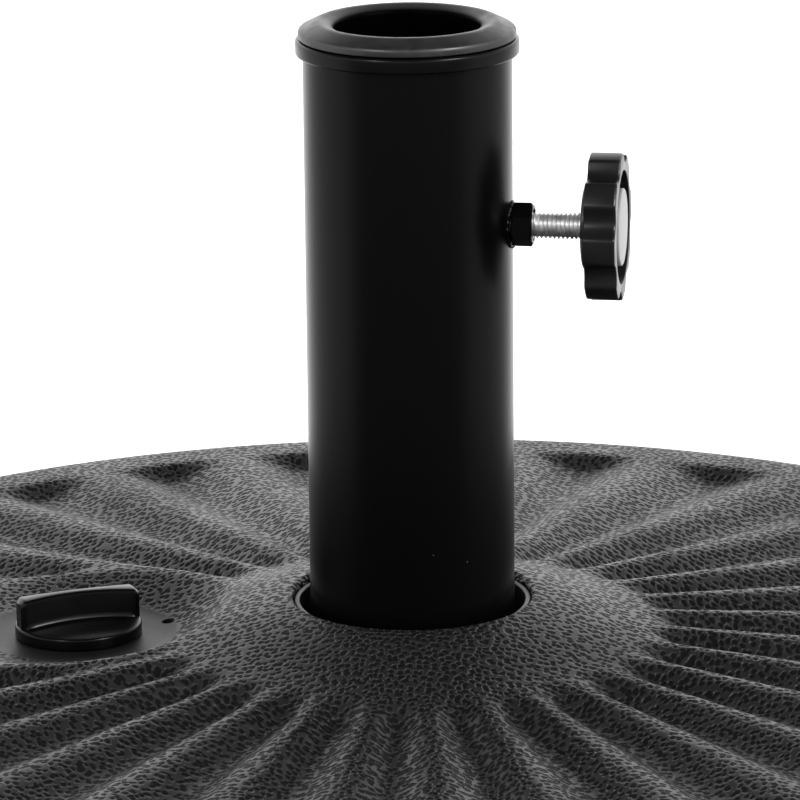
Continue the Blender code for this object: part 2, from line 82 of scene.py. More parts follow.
# moulded grain on the shell: the pits' spacing, how far they are bent, and the distance
# from a pit's centre over which it ends, in pitches, on the deck and on the side wall
GRAIN_PITCH = 2.2 * MM
GRAIN_WANDER = 2 * MM
GRAIN_HEIGHT = 0.5 * MM
GRAIN_ENDS_ON_DECK = (0.27, 0.54)
GRAIN_ENDS_BESIDE = (0.4, 0.68)

# fill opening and its cap
CAP_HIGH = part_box("fill_cap")[1]
SEAL_LOW, SEAL_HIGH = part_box("cap_seal")
FILL_CENTRE = (SEAL_LOW + SEAL_HIGH) / 2 * Vector((1, 1, 0))
DISH_FLOOR = SEAL_LOW.z - GAP
DISH_FLOOR_RADIUS = 30 * MM
DISH_RIM_RADIUS = 46.5 * MM
DISH_BORDER = 10 * MM
GATE_MARK_X = 24.5 * MM
GATE_MARK_Y = 13.6 * MM
NECK_BORE = 15 * MM
NECK_WALL = 2.6 * MM
NECK_LENGTH = 12 * MM
CAP_RADIUS = 18.9 * MM
CAP_EDGE_TOP = 59.3 * MM
CAP_CROWN = 60.5 * MM
CAP_RIM_WALL = 1.6 * MM
SEAL_SEAT = SEAL_HIGH.z + GAP
CAP_SKIRT = NECK_BORE - 2 * GAP
CAP_SKIRT_WALL = 2 * MM
CAP_PITCH = 3 * MM
CAP_THREAD = 0.45 * MM
GRIP_AZIMUTH = np.radians(29)
GRIP_TOP = CAP_HIGH.z
GRIP_WAIST = 4.5 * MM
GRIP_END = 8 * MM

# pole tube and what closes it
TUBE_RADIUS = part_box("pole_tube")[1].x
TUBE_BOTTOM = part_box("pole_tube")[0].z
TUBE_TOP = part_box("pole_tube")[1].z
TUBE_WALL = 1.5 * MM
COLLAR_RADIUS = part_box("tube_collar")[1].x
COLLAR_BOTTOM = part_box("tube_collar")[0].z
COLLAR_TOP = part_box("tube_collar")[1].z
REDUCER_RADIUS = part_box("reducer_ring")[1].x
REDUCER_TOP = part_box("reducer_ring")[1].z
REDUCER_SLEEVE_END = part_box("reducer_ring")[0].z
REDUCER_BORE = 21 * MM
REDUCER_CREST = 25.7 * MM
REDUCER_MOUTH_DROP = 1.9 * MM
REDUCER_FINS = 6

# screws: the M8 clamp screw and the M10 bolt that holds the tube down
CLAMP_HEIGHT = 185.9 * MM
M8_RADIUS = 4 * MM
M8_PITCH = 1.25 * MM
M10_RADIUS = 5 * MM
M10_PITCH = 1.5 * MM
M10_FLATS = 17 * MM
M10_HEAD = 6.4 * MM
NUT_CLEARANCE = 0.15 * MM
WASHER_BORE = 5.3 * MM
CLAMP_HOLE_RADIUS = 4.6 * MM
NUT_FLATS = 11.2 * MM
NUT_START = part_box("clamp_nut")[0].x
NUT_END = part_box("clamp_nut")[1].x
KNOB_BOSS_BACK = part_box("knob_body")[0].x
KNOB_BOSS_RADIUS = 12.3 * MM
KNOB_BACK = 52.7 * MM
KNOB_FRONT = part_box("knob_body")[1].x
KNOB_RADIUS = 21.6 * MM
KNOB_LOBES = 8
KNOB_SCALLOP_DEPTH = 2.8 * MM
KNOB_SCALLOP_HALF_ANGLE = np.radians(12.5)
KNOB_TURN = np.radians(7)
KNOB_RECESS_RADIUS = 16.3 * MM
KNOB_RECESS_DEPTH = 3 * MM
HEAD_FLATS = 13 * MM
SCREW_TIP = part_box("clamp_bolt")[0].x
HEAD_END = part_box("clamp_bolt")[1].x
HEAD_START = HEAD_END - 4.5 * MM

# camera and studio
CAMERA_PLACE = Vector((0.23105, -1.45882, 0.541))
CAMERA_AZIMUTH = np.radians(9)
CAMERA_YAW = np.radians(-0.12)
CAMERA_PITCH = np.radians(15.46)
CAMERA_ROLL = np.radians(0.59)
LENS = 237.15
SENSOR_WIDTH = 36
VIEW_DEPTH = 100
FLOOR_SIZE = 14
FLOOR_DROP = 0.2 * MM
FLOOR_LIGHT_ENERGY = 4.6
FLOOR_LIGHT_ANGLE = np.radians(35)
TOWARD_FLOOR_LIGHT = Vector((-0.156, 0.988, 1.35))
SOFTBOX_TARGET = (0, 0, 0.2)

# surroundings: brightness, and the stretch of a direction's rise or bearing over which
# one of them gives way to the next
SWEEP_LEVEL = 2.4
SWEEP_ENDS = 0.32
SWEEP_ENDS_TILT = -0.06
SWEEP_WRAP = 0.4
SWEEP_EDGE = (-0.25, 0.12)
SWEEP_FADE = (0.6, 0.97)
SWEEP_TOP = (0.34, 0.68)
OVERHEAD_LEVEL = 0.08
FRONT_WALL_LEVEL = 0.8
FRONT_FLOOR_LEVEL = 0.2
FRONT_WALL_FOOT = (-0.02, 0.14)
FRONT_WALL_TOP = (0.5, 0.75)


# ---------------------------------------------------------------- shape tools

def smoothstep(low, high, value):
    share = np.clip((value - low) / (high - low), 0, 1)
    return share * share * (3 - 2 * share)


def soft_min(first, second, reach):
    """The lower of two heights, rounded off where they cross."""
    share = np.clip(0.5 + 0.5 * (second - first) / reach, 0, 1)
    return second * (1 - share) + first * share - reach * share * (1 - share)


def soft_max(first, second, reach):
    return -soft_min(-first, -second, reach)


def soften(outline, steps=4):
    """Rounds the corners of a closed outline of (radius, height, round) points."""
    smooth = []
    count = len(outline)
    for index, (radius, height, size) in enumerate(outline):
        here = np.array((radius, height))
        before = np.array(outline[index - 1][:2]) - here
        after = np.array(outline[(index + 1) % count][:2]) - here
        if size == 0:
            smooth.append(here)
            continue
        reach_in = min(size, 0.48 * np.linalg.norm(before))
        reach_out = min(size, 0.48 * np.linalg.norm(after))
        enter = here + before / np.linalg.norm(before) * reach_in
        leave = here + after / np.linalg.norm(after) * reach_out
        for share in np.linspace(0, 1, steps + 1):
            smooth.append((1 - share) ** 2 * enter + 2 * share * (1 - share) * here + share ** 2 * leave)
    return np.array(smooth)


def finish_mesh(name, mesh, sharp):
    """Links a mesh as an object, smooth except at its sharp edges."""
    made = bpy.data.objects.new(name, mesh)
    bpy.context.scene.collection.objects.link(made)
    mesh.shade_smooth()
    mesh.set_sharp_from_angle(angle=np.radians(sharp))
    return made


def skin(name, rings, looped=False, where=None, sharp=SHARP_ANGLE):
    """A closed mesh over rings of points, an array of ring, step and coordinate.

    The rings run on from the last to the first when looped; otherwise a fan closes each end.
    """
    rings = np.asarray(rings, dtype=float)
    rows, steps = rings.shape[:2]
    points = rings.reshape(-1, 3)
    row = np.arange(rows if looped else rows - 1)[:, None]
    step = np.arange(steps)[None, :]
    below = row % rows * steps
    above = (row + 1) % rows * steps
    after = (step + 1) % steps
    faces = np.stack([below + step, below + after, above + after, above + step], -1).reshape(-1, 4).tolist()
    if not looped:
        centres = [rings[0].mean(axis=0), rings[-1].mean(axis=0)]
        points = np.vstack([points, centres])
        first = rows * steps
        last = (rows - 1) * steps
        for here in range(steps):
            turn = (here + 1) % steps
            faces.append([first, turn, here])
            faces.append([first + 1, last + here, last + turn])
    mesh = bpy.data.meshes.new(name)
    mesh.from_pydata(points.tolist(), [], faces)
    shape = bmesh.new()
    shape.from_mesh(mesh)
    bmesh.ops.recalc_face_normals(shape, faces=shape.faces)
    shape.to_mesh(mesh)
    shape.free()
    if where is not None:
        mesh.transform(where)
    return finish_mesh(name, mesh, sharp)


def ring_points(radius, angle, height):
    """Points at a radius from Z, at an angle about it and at a height."""
    radius, angle, height = np.broadcast_arrays(radius, angle, height)
    return np.stack([radius * np.cos(angle), radius * np.sin(angle), height], -1)


def around(outline, steps, radius_at=None):
    """Rings of an outline of (radius, height) points turned about Z.

    radius_at(radius, angle, height) may give each point its own radius.
    """
    angles = FULL_TURN * np.arange(steps) / steps
    outline = np.asarray(outline, dtype=float)
    radius = np.repeat(outline[:, :1], steps, axis=1)
    height = np.repeat(outline[:, 1:2], steps, axis=1)
    if radius_at:
        radius = radius_at(radius, angles[None, :], height)
    return ring_points(radius, angles, height)


def turned(name, outline, steps, where=None):
    """A ring-shaped piece from a closed outline of (radius, height, round) points."""
    return skin(name, around(soften(outline), steps), looped=True, where=where)


def hex_radius(flats, angle):
    """Distance from a hexagon's centre to its edge; its corners are at 0, 60, 120... degrees."""
    sector = np.mod(angle, np.pi / 3) - np.pi / 6
    return flats / 2 / np.cos(sector)


def along_x(turn=0.0):
    """Sends a piece made about Z to the clamp screw's axis, its Z along +X."""
    facing = Matrix.Rotation(np.pi / 2, 4, "Y") @ Matrix.Rotation(turn, 4, "Z")
    return Matrix.Translation((0, 0, CLAMP_HEIGHT)) @ facing


def carve(target, tool, operation="DIFFERENCE"):
    """Cuts the tool out of the target, or joins it on, for good."""
    step = target.modifiers.new("carve", "BOOLEAN")
    step.operation = operation
    step.solver = "MANIFOLD"
    step.object = tool
    bpy.context.view_layer.update()
    evaluated = target.evaluated_get(bpy.context.evaluated_depsgraph_get())
    mesh = bpy.data.meshes.new_from_object(evaluated)
    target.modifiers.clear()
    target.data = mesh
    bpy.data.objects.remove(tool)
    return target


def reshade(target, sharp=SHARP_ANGLE):
    """Smooths a mesh again after it was cut."""
    target.data.shade_smooth()
    target.data.set_sharp_from_angle(angle=np.radians(sharp))


def dress(piece, body, material, node=None):
    """Gives a piece its material and body, and lets it stand for its CAD node."""
    piece.data.materials.clear()
    piece.data.materials.append(material)
    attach(piece, body)
    if node:
        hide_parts(node)
    return piece


# ---------------------------------------------------------------- materials

def node(tree, kind, inputs=None, **settings):
    """A shader node; an input is a value or another node's output."""
    made = tree.nodes.new(kind)
    for name, value in settings.items():
        setattr(made, name, value)
    for key, value in (inputs or {}).items():
        if isinstance(value, bpy.types.NodeSocket):
            tree.links.new(value, made.inputs[key])
        else:
            made.inputs[key].default_value = value
    return made


def sums(tree, operation, first, second=0.0, third=0.0):
    made = node(tree, "ShaderNodeMath", {0: first, 1: second, 2: third}, operation=operation)
    return made.outputs[0]


def vector_sums(tree, operation, first, second=(0, 0, 0), third=(0, 0, 0), output="Vector"):
    inputs = {0: first, 1: second, 2: third}
    return node(tree, "ShaderNodeVectorMath", inputs, operation=operation).outputs[output]


def ramp(tree, value, low, high, start=0.0, end=1.0):
    """Takes a value from one range to another with smooth ends."""
    inputs = {"Value": value, "From Min": low, "From Max": high, "To Min": start, "To Max": end}
    made = node(tree, "ShaderNodeMapRange", inputs, interpolation_type="SMOOTHSTEP")
    return made.outputs["Result"]


def grey(tree, value):
    made = node(tree, "ShaderNodeCombineColor", {0: value, 1: value, 2: value})
    return made.outputs["Color"]


def blank_material(name):
    """A new node material and its Principled shader, with the object's own coordinates."""
    made = bpy.data.materials.new(name)
    made.use_nodes = True
    tree = made.node_tree
    shader = tree.nodes["Principled BSDF"]
    place = tree.nodes.new("ShaderNodeTexCoord").outputs["Object"]
    return made, tree, shader, place


def noise(tree, place, scale, detail, output="Fac"):
    inputs = {"Vector": place, "Scale": scale, "Detail": detail, "Roughness": 0.5}
    return node(tree, "ShaderNodeTexNoise", inputs).outputs[output]


def bump(tree, height, distance):
    inputs = {"Height": height, "Distance": distance, "Strength": 1.0}
    return node(tree, "ShaderNodeBump", inputs).outputs["Normal"]


def plug(tree, shader, **inputs):
    """Connects or sets the shader's inputs; underscores stand for spaces."""
    for name, value in inputs.items():
        socket = shader.inputs[name.replace("_", " ")]
        if isinstance(value, bpy.types.NodeSocket):
            tree.links.new(value, socket)
        else:
            socket.default_value = value


def shell_material():
    """Moulded grain: a light net round short separate pits, worn to a satin sheen, with a painted shadow in
    each pit.
    """
    made, tree, shader, place = blank_material("shell_grain")
    # the grain's place wanders a little, which bends the pits and joins some of them
    drift = noise(tree, place, 300, 1.0, "Color")
    drift = vector_sums(tree, "SUBTRACT", drift, (0.5, 0.5, 0.5))
    bent = vector_sums(tree, "MULTIPLY_ADD", drift, (GRAIN_WANDER,) * 3, place)
    upward = node(tree, "ShaderNodeSeparateXYZ", {0: place.node.outputs["Normal"]}).outputs["Z"]
    on_top = ramp(tree, upward, 0.45, 0.6)
    beside = sums(tree, "SUBTRACT", 1.0, on_top)
    on_deck = grain_pits(tree, bent, "2D", on_top, GRAIN_ENDS_ON_DECK)
    pit = sums(tree, "ADD", on_deck, grain_pits(tree, bent, "3D", beside, GRAIN_ENDS_BESIDE))
    grained = outside_dish_floor(tree, place)
    pit = sums(tree, "MULTIPLY", pit, grained)
    fine = noise(tree, place, 1500, 2.0)
    broad = noise(tree, place, 28, 2.0)
    height = sums(tree, "SUBTRACT", 1.0, pit)
    height = sums(tree, "MULTIPLY_ADD", fine, 0.16, height)
    # painted shadow: the pits' colour is a little darker, as if shadowed
    painted_pit_shadow = sums(tree, "MULTIPLY_ADD", pit, -0.12, 1.0)
    tint = ramp(tree, broad, 0.3, 0.7, 0.0075, 0.01)
    # painted shadow: pits give back little sheen, as if shadowed; the dish floor is duller than the net
    sheen = sums(tree, "MULTIPLY_ADD", pit, -0.94, 1.0)
    sheen = sums(tree, "MULTIPLY", sheen, sums(tree, "MULTIPLY_ADD", grained, 0.36, 0.17))
    plug(
        tree,
        shader,
        Base_Color=grey(tree, sums(tree, "MULTIPLY", tint, painted_pit_shadow)),
        Roughness=ramp(tree, broad, 0.3, 0.7, 0.42, 0.5),
        Specular_IOR_Level=sheen,
        Normal=bump(tree, height, GRAIN_HEIGHT),
    )
    return made


def grain_pits(tree, place, dimensions, share, reach):
    """The share in the pits of the grain and 0 on the net between them; a pit ends over the reach."""
    inputs = {"Vector": place, "Scale": 1 / GRAIN_PITCH, "Randomness": 0.75}
    cells = node(tree, "ShaderNodeTexVoronoi", inputs, voronoi_dimensions=dimensions)
    return sums(tree, "MULTIPLY", ramp(tree, cells.outputs["Distance"], *reach, 1.0, 0.0), share)


def outside_dish_floor(tree, place):
    """0 on the smooth floor of the dish about the cap, 1 on the rest of the shell."""
    centre = tuple(FILL_CENTRE + Vector((0, 0, DISH_FLOOR)))
    distance = vector_sums(tree, "DISTANCE", place, centre, output="Value")
    return ramp(tree, distance, DISH_FLOOR_RADIUS - 1.5 * MM, DISH_FLOOR_RADIUS + MM)


def moulded_material(name, tone, roughness, grain=0.012, level=0.5):
    """Plain moulded plastic with a faint spark-eroded texture and soft flow marks."""
    made, tree, shader, place = blank_material(name)
    fine = noise(tree, place, 2200, 2.0)
    flow = noise(tree, place, 90, 2.0)
    plug(
        tree,
        shader,
        Base_Color=grey(tree, ramp(tree, flow, 0.3, 0.7, tone * 0.9, tone * 1.1)),
        Roughness=ramp(tree, flow, 0.3, 0.7, roughness - 0.03, roughness + 0.03),
        Specular_IOR_Level=level,
        Normal=bump(tree, fine, grain * MM),
    )
    return made


def reducer_material():
    """Matt black plastic, with a painted shadow down in the bore: colour and sheen fall almost to nothing
    there.
    """
    made, tree, shader, place = blank_material("reducer_plastic")
    level = vector_sums(tree, "MULTIPLY", place, (1, 1, 0))
    reach = vector_sums(tree, "LENGTH", level, output="Value")
    # painted shadow: colour and sheen drop to a fiftieth at the bore's wall, for the dark deep in the tube
    lit = ramp(tree, reach, REDUCER_BORE + 0.1 * MM, REDUCER_BORE + 2.5 * MM, 0.02, 1.0)
    fine = noise(tree, place, 2200, 2.0)
    smears = noise(tree, place, 240, 3.0)
    tone = ramp(tree, smears, 0.35, 0.65, 0.006, 0.01)
    plug(
        tree,
        shader,
        Base_Color=grey(tree, sums(tree, "MULTIPLY", tone, lit)),
        Roughness=ramp(tree, smears, 0.3, 0.7, 0.4, 0.5),
        Specular_IOR_Level=sums(tree, "MULTIPLY", lit, 0.8),
        Normal=bump(tree, fine, 0.012 * MM),
    )
    return made


def painted_material():
    """Black powder coat: a slight orange peel, and a few specks of dust caught in it."""
    made, tree, shader, place = blank_material("tube_paint")
    peel = noise(tree, place, 900, 1.0)
    dust = node(tree, "ShaderNodeTexVoronoi", {"Vector": place, "Scale": 90})
    chance = node(tree, "ShaderNodeSeparateColor", {0: dust.outputs["Color"]}).outputs[0]
    speck = sums(tree, "LESS_THAN", dust.outputs["Distance"], 0.028)
    speck = sums(tree, "MULTIPLY", speck, sums(tree, "GREATER_THAN", chance, 0.72))
    plug(
        tree,
        shader,
        Base_Color=grey(tree, sums(tree, "MULTIPLY_ADD", speck, 0.03, 0.001)),
        Roughness=0.3,
        Specular_IOR_Level=0.14,
        Normal=bump(tree, peel, 0.012 * MM),
    )
    return made


def zinc_material():
    """Bright zinc plating with fine drawn lines and dull patches."""
    made, tree, shader, place = blank_material("zinc_plate")
    patches = noise(tree, place, 700, 3.0)
    fine = noise(tree, place, 4000, 2.0)
    plug(
        tree,
        shader,
        Base_Color=grey(tree, ramp(tree, patches, 0.3, 0.7, 0.88, 0.98)),
        Metallic=1.0,
        Roughness=ramp(tree, patches, 0.3, 0.7, 0.38, 0.5),
        Normal=bump(tree, fine, 0.01 * MM),
    )
    return made


def mortar_material():
    """Cement mortar: sand grains in a grey matrix."""
    made, tree, shader, place = blank_material("mortar")
    sand = node(tree, "ShaderNodeTexVoronoi", {"Vector": place, "Scale": 700}).outputs["Distance"]
    cloud = noise(tree, place, 60, 4.0)
    tone = sums(tree, "MULTIPLY_ADD", sand, 0.12, ramp(tree, cloud, 0.3, 0.7, 0.2, 0.32))
    plug(tree, shader, Base_Color=grey(tree, tone), Roughness=0.9, Normal=bump(tree, sand, 0.3 * MM))
    return made


def floor_material():
    """Plain pale paper sweep."""
    made, tree, shader, place = blank_material("pale_floor")
    cloud = noise(tree, place, 3.0, 2.0)
    plug(tree, shader, Base_Color=grey(tree, ramp(tree, cloud, 0.3, 0.7, 0.86, 0.88)), Roughness=0.9)
    return made


# ---------------------------------------------------------------- shell

def deck_height(radius):
    """Height of the deck's crests: a gentle cone that rises to the hub."""
    cone = DECK_EDGE_HEIGHT + DECK_SLOPE * (DECK_EDGE_RADIUS - radius)
    share = np.clip((radius - WELL_RADIUS) / (HUB_FOOT_RADIUS - WELL_RADIUS), 0, 1)
    return cone + HUB_RISE * (1 + np.cos(np.pi * share)) / 2


def deck_surface(radius, angle):
    """Height of the deck with its grooves and the dish about the fill cap."""
    beside = np.hypot(radius * np.cos(angle) - FILL_CENTRE.x, radius * np.sin(angle) - FILL_CENTRE.y)
    across = ((1 + np.cos(GROOVES * angle)) / 2) ** GROOVE_SHARPNESS
    along = smoothstep(*GROOVE_START, radius) * (1 - smoothstep(*GROOVE_END, radius))
    along = along * smoothstep(DISH_RIM_RADIUS, DISH_RIM_RADIUS + DISH_BORDER, beside)
    deck = deck_height(radius) - GROOVE_DEPTH * across * along
    up = (beside - DISH_FLOOR_RADIUS) / (DISH_RIM_RADIUS - DISH_FLOOR_RADIUS)
    foot = DISH_FLOOR + 0.6 * MM
    wall = foot + (deck_height(radius) - foot) * up
    dish = soft_max(DISH_FLOOR, wall, 1.6 * MM)
    return soft_min(deck, dish, 0.9 * MM)


def underside_surface(radius, angle):
    """Height of the underside: a shallow space with radial ribs left in it."""
    rib_angle = np.mod(angle, FULL_TURN / UNDERSIDE_RIBS) - FULL_TURN / UNDERSIDE_RIBS / 2
    beside = np.abs(radius * np.sin(rib_angle))
    rib = 1 - smoothstep(UNDERSIDE_RIB_WIDTH / 2 - MM, UNDERSIDE_RIB_WIDTH / 2 + MM, beside)
    rise = smoothstep(BOSS_RADIUS, BOSS_RADIUS + 2.5 * MM, radius)
    rise = rise * (1 - smoothstep(FOOT_INNER_RADIUS - 2.5 * MM, FOOT_INNER_RADIUS, radius))
    return rise * (UNDERSIDE_LIFT - rib * (UNDERSIDE_LIFT - MM))


def surface_rings(radii, angles, surface):
    """Rings over a surface whose height comes from a radius and an angle."""
    radius = np.repeat(radii[:, None], len(angles), axis=1)
    return ring_points(radius, angles, surface(radius, angles[None, :]))


def shell_rings():
    """The shell's outside: hole, recess, underside, side, deck and well, in one loop."""
    steps = GROOVES * STEPS_PER_GROOVE
    angles = FULL_TURN * np.arange(steps) / steps
    lower = soften([
        (BOLT_HOLE_RADIUS, WELL_UNDERSIDE, 0),
        (BOLT_RECESS_RADIUS, WELL_UNDERSIDE, 1 * MM),
        (BOLT_RECESS_RADIUS, 0, 1 * MM),
        (BOSS_RADIUS - 0.5 * MM, 0, 0),
    ])
    under_radii = np.concatenate([
        np.linspace(BOSS_RADIUS, BOSS_RADIUS + 3 * MM, 5),
        np.linspace(60 * MM, FOOT_INNER_RADIUS - 14 * MM, 9),
        np.linspace(FOOT_INNER_RADIUS - 3 * MM, FOOT_INNER_RADIUS, 5),
    ])
    foot_corner = np.radians(np.linspace(-90, 0, 7))
    top_corner = np.radians(np.linspace(0, 80, 9))
    side = np.concatenate([
        np.stack([
            SHELL_RADIUS + FOOT_ROUND * (np.cos(foot_corner) - 1),
            FOOT_ROUND * (np.sin(foot_corner) + 1),
        ], -1),
        np.stack([
            SHELL_RADIUS + EDGE_ROUND * (np.cos(top_corner) - 1),
            DECK_EDGE_HEIGHT - EDGE_ROUND_DEPTH + EDGE_ROUND * np.sin(top_corner),
        ], -1),
    ])
    deck_radii = np.concatenate([
        np.arange(DECK_EDGE_RADIUS, 146 * MM, -2.5 * MM),
        np.arange(145 * MM, 62 * MM, -1.5 * MM),
        np.arange(61.5 * MM, 38 * MM, -2 * MM),
    ])
    upper = soften([
        (WELL_RADIUS + 1.9 * MM, deck_height(WELL_RADIUS + 1.9 * MM), 0),
        (WELL_RADIUS + 1.2 * MM, HUB_TOP, 0.7 * MM),
        (WELL_RADIUS, HUB_TOP - 1.2 * MM, 0.8 * MM),
        (WELL_RADIUS, WELL_FLOOR, 0.8 * MM),
        (BOLT_HOLE_RADIUS, WELL_FLOOR, 0),
    ])
    return np.concatenate([
        around(lower, steps),
        surface_rings(under_radii, angles, underside_surface),
        around(side, steps),
        surface_rings(deck_radii, angles, deck_surface),
        around(upper, steps),
    ])


def screw_ridge(height, angle, pitch, phase=0.0):
    """Cross-section of a rounded right-hand thread: 0 between the ridges, 1 on them."""
    turn = np.mod((height - phase) / pitch - angle / FULL_TURN, 1)
    return smoothstep(0.1, 0.3, turn) * (1 - smoothstep(0.45, 0.65, turn))


def neck_cutter():
    """The fill neck's bore with its internal thread."""
    top = DISH_FLOOR + 2 * MM
    bottom = DISH_FLOOR - SKIN - NECK_LENGTH - 2 * MM
    heights = np.linspace(bottom, top, 60)
    outline = np.stack([np.full_like(heights, NECK_BORE), heights], -1)

    def radius_at(radius, angle, height):
        fade = smoothstep(bottom + 2 * MM, bottom + 4 * MM, height)
        fade = fade * (1 - smoothstep(DISH_FLOOR - 3 * MM, DISH_FLOOR - 1 * MM, height))
        return radius - CAP_THREAD * fade * screw_ridge(height, angle, CAP_PITCH)

    rings = around(outline, 96, radius_at)
    return skin("neck_bore", rings, where=Matrix.Translation(FILL_CENTRE))


def hollow_cutter():
    """The space inside the shell, with the dish's wall and the neck left standing in it."""
    inner = WELL_RADIUS + SKIN
    outer = SHELL_RADIUS - SKIN
    floor = UNDERSIDE_LIFT + SKIN
    ceiling = SKIN + GROOVE_DEPTH
    radii = np.array([244, 200, 160, 120, 84]) * MM
    hub = np.array([68, 60, 52, 44]) * MM
    outline = [
        (inner, floor, MM),
        (outer, floor, 6 * MM),
        (outer, deck_height(outer) - ceiling - 3 * MM, MM),
    ]
    outline += [(radius, deck_height(radius) - ceiling, 0) for radius in radii]
    outline += [(radius, deck_height(radius) - SKIN, 0) for radius in hub]
    outline += [(inner, deck_height(inner) - SKIN, 0)]
    hollow = turned("hollow", outline, steps=120)
    floor_under = DISH_FLOOR - SKIN
    reach = DISH_FLOOR_RADIUS + SKIN
    steps = 72
    kept_rings = around([
        (NECK_BORE + NECK_WALL, floor_under - NECK_LENGTH),
        (NECK_BORE + NECK_WALL, floor_under),
        (reach - 3 * MM, floor_under),
    ], steps)
    rim_rings = around([(DISH_RIM_RADIUS + SKIN, 0), (DISH_RIM_RADIUS + SKIN, 0)], steps)
    from_axis = np.hypot(rim_rings[..., 0] + FILL_CENTRE.x, rim_rings[..., 1] + FILL_CENTRE.y)
    rim_rings[..., 2] = deck_height(from_axis) - SKIN
    rim_rings[1, :, 2] += 6 * MM
    kept = skin("dish_wall", np.concatenate([kept_rings, rim_rings]), where=Matrix.Translation(FILL_CENTRE))
    return carve(hollow, kept)


def gate_mark_cutter():
    """Small round dent that the mould leaves in the dish floor."""
    dent = np.array([(1.2, -2.0), (1.8, -1.6), (2.0, 0.2), (2.1, 3)]) * MM
    where = FILL_CENTRE + Vector((GATE_MARK_X, GATE_MARK_Y, DISH_FLOOR))
    return skin("gate_mark", around(dent, 24), where=Matrix.Translation(where))


def build_shell(material):
    """Blow-moulded skin, with grooves, grain, a dish for the cap and a well for the tube."""
    shell = skin("shell_skin", shell_rings(), looped=True)
    carve(shell, hollow_cutter())
    carve(shell, neck_cutter())
    carve(shell, gate_mark_cutter())
    reshade(shell, 40)
    return dress(shell, "base", material, "base_shell")


def build_sleeve(material):
    """Smooth liner of the well."""
    low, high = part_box("socket_sleeve")
    wall = 1.6 * MM
    outline = [
        (high.x, low.z, 0.3 * MM),
        (high.x, high.z, 0.6 * MM),
        (high.x - wall, high.z, 0.6 * MM),
        (high.x - wall, low.z, 0.3 * MM),
    ]
    return dress(turned("well_liner", outline, 160), "base", material, "socket_sleeve")


# ---------------------------------------------------------------- fill cap

def grip_bar():
    """Bowed bar across the cap: a narrow waist, wider ends, a crowned top and a fillet at its foot."""
    reach = CAP_RADIUS - 0.35 * MM
    stations = np.sin(np.linspace(-np.pi / 2, np.pi / 2, 41))
    sections = []
    for station in stations:
        half = (GRIP_WAIST + (GRIP_END - GRIP_WAIST) * station ** 2) / 2
        foot = cap_crown(reach * abs(station))
        near_end = smoothstep(0.9, 1.0, abs(station))
        half = half - 1.5 * MM * near_end ** 2
        top = GRIP_TOP - 0.95 * MM * station ** 2 - 1.1 * MM * near_end ** 2
        flare = 1.1 * MM * (1 - smoothstep(0.8, 1.0, abs(station)))
        profile = [
            (half + flare, foot - 0.8 * MM),
            (half + flare, foot),
            (half + 0.45 * flare, foot + 0.25 * MM),
            (half + 0.12 * flare, foot + 0.8 * MM),
            (half, foot + 1.6 * MM),
            (half - 0.15 * MM, top - 1.2 * MM),
            (half - 0.3 * MM, top - 0.55 * MM),
            (half - 0.75 * MM, top - 0.15 * MM),
            (half - 1.3 * MM, top),
        ]
        across = profile + [(-y, z) for y, z in profile[::-1]]
        sections.append([(np.sqrt(reach ** 2 - y ** 2) * station, y, z) for y, z in across])
    return skin("grip_bar", sections)


def cap_crown(radius):
    """Height of the cap's gently domed top."""
    return CAP_CROWN - (CAP_CROWN - CAP_EDGE_TOP) * (radius / CAP_RADIUS) ** 2


def build_cap(material):
    """Screw cap: crowned flange whose rim hides the seal, hollow threaded skirt and a grip bar."""
    under = SEAL_SEAT - 10 * MM
    ceiling = CAP_CROWN - 2.2 * MM
    rim_inner = CAP_RADIUS - CAP_RIM_WALL
    rim_bottom = DISH_FLOOR + GAP
    heights = np.linspace(under + 0.8 * MM, SEAL_SEAT, 40)
    skirt = np.stack([np.full_like(heights, CAP_SKIRT), heights], -1)
    inside = soften([
        (3 * MM, ceiling, 0),
        (CAP_SKIRT - CAP_SKIRT_WALL, ceiling, 0.8 * MM),
        (CAP_SKIRT - CAP_SKIRT_WALL, under, 0.4 * MM),
        (CAP_SKIRT, under, 0.8 * MM),
        (CAP_SKIRT, under + 1.6 * MM, 0),
    ])[:-1]
    flange = soften([
        (CAP_SKIRT, SEAL_SEAT, 0),
        (rim_inner, SEAL_SEAT, 0.2 * MM),
        (rim_inner, rim_bottom, 0.3 * MM),
        (CAP_RADIUS, rim_bottom, 0.4 * MM),
        (CAP_RADIUS, CAP_EDGE_TOP, 0.8 * MM),
        (15 * MM, cap_crown(15 * MM), 0),
        (9 * MM, cap_crown(9 * MM), 0),
        (3 * MM, cap_crown(3 * MM), 0),
    ])[1:]
    outline = np.concatenate([inside, skirt, flange])

    def radius_at(radius, angle, height):
        on_skirt = (np.abs(radius - CAP_SKIRT) < 1e-6).astype(float)
        fade = smoothstep(under + 0.8 * MM, under + 2.5 * MM, height)
        fade = fade * (1 - smoothstep(SEAL_SEAT - 2.5 * MM, SEAL_SEAT - 1 * MM, height))
        ridge = screw_ridge(height, angle + GRIP_AZIMUTH, CAP_PITCH, CAP_PITCH / 2)
        return radius + CAP_THREAD * on_skirt * fade * ridge

    cap = skin("screw_cap", around(outline, 144, radius_at))
    carve(cap, grip_bar(), "UNION")
    reshade(cap, 32)
    cap.data.transform(Matrix.Translation(FILL_CENTRE) @ Matrix.Rotation(GRIP_AZIMUTH, 4, "Z"))
    return dress(cap, "cap", material, "fill_cap")


